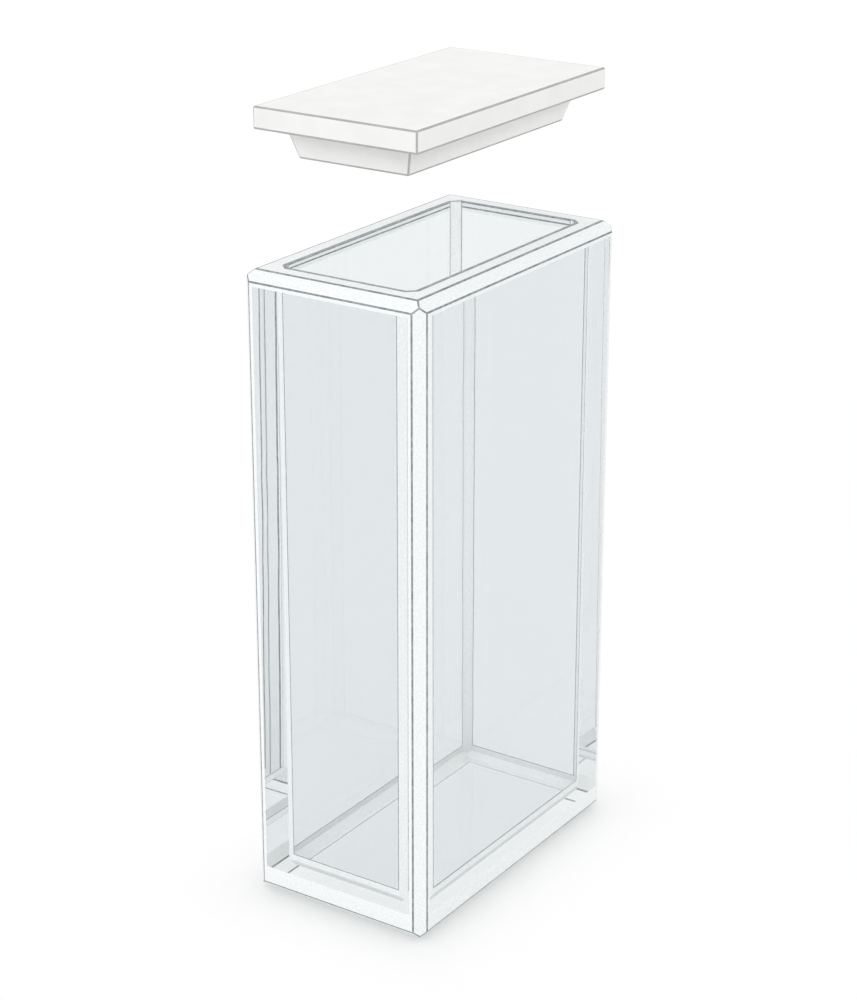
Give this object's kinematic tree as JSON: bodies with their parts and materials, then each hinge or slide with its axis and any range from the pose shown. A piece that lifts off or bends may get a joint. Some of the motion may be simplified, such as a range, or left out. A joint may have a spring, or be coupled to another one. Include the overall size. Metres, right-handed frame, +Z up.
{
  "type": "cuvette",
  "caption": "Rectangular glass cell, open at the top, with clear walls, chamfered ground edges and a loose white lid whose tapered plug sits in the mouth. Holds a liquid sample in a light beam.",
  "frame": {"origin": "middle of the cell's underside, on the surface that it stands on", "axes": "+Z up, out of the mouth; X along the cell's long side, the 20 mm light path; Y across it, the 10 mm light path"},
  "size_m": [0.024, 0.014, 0.0555],
  "materials": {
    "optical_glass": "polished window faces, ground rim and edges",
    "fluoropolymer": "satin, as moulded"
  },
  "bodies": {
    "cell": {"cell": "optical_glass"},
    "lid": {"lid": "fluoropolymer"}
  },
  "joints": [
    {"name": "lid_lift", "type": "slide", "parent": "cell", "child": "lid", "axis": [0, 0, 1], "range_m": [-0.009, 0]}
  ]
}
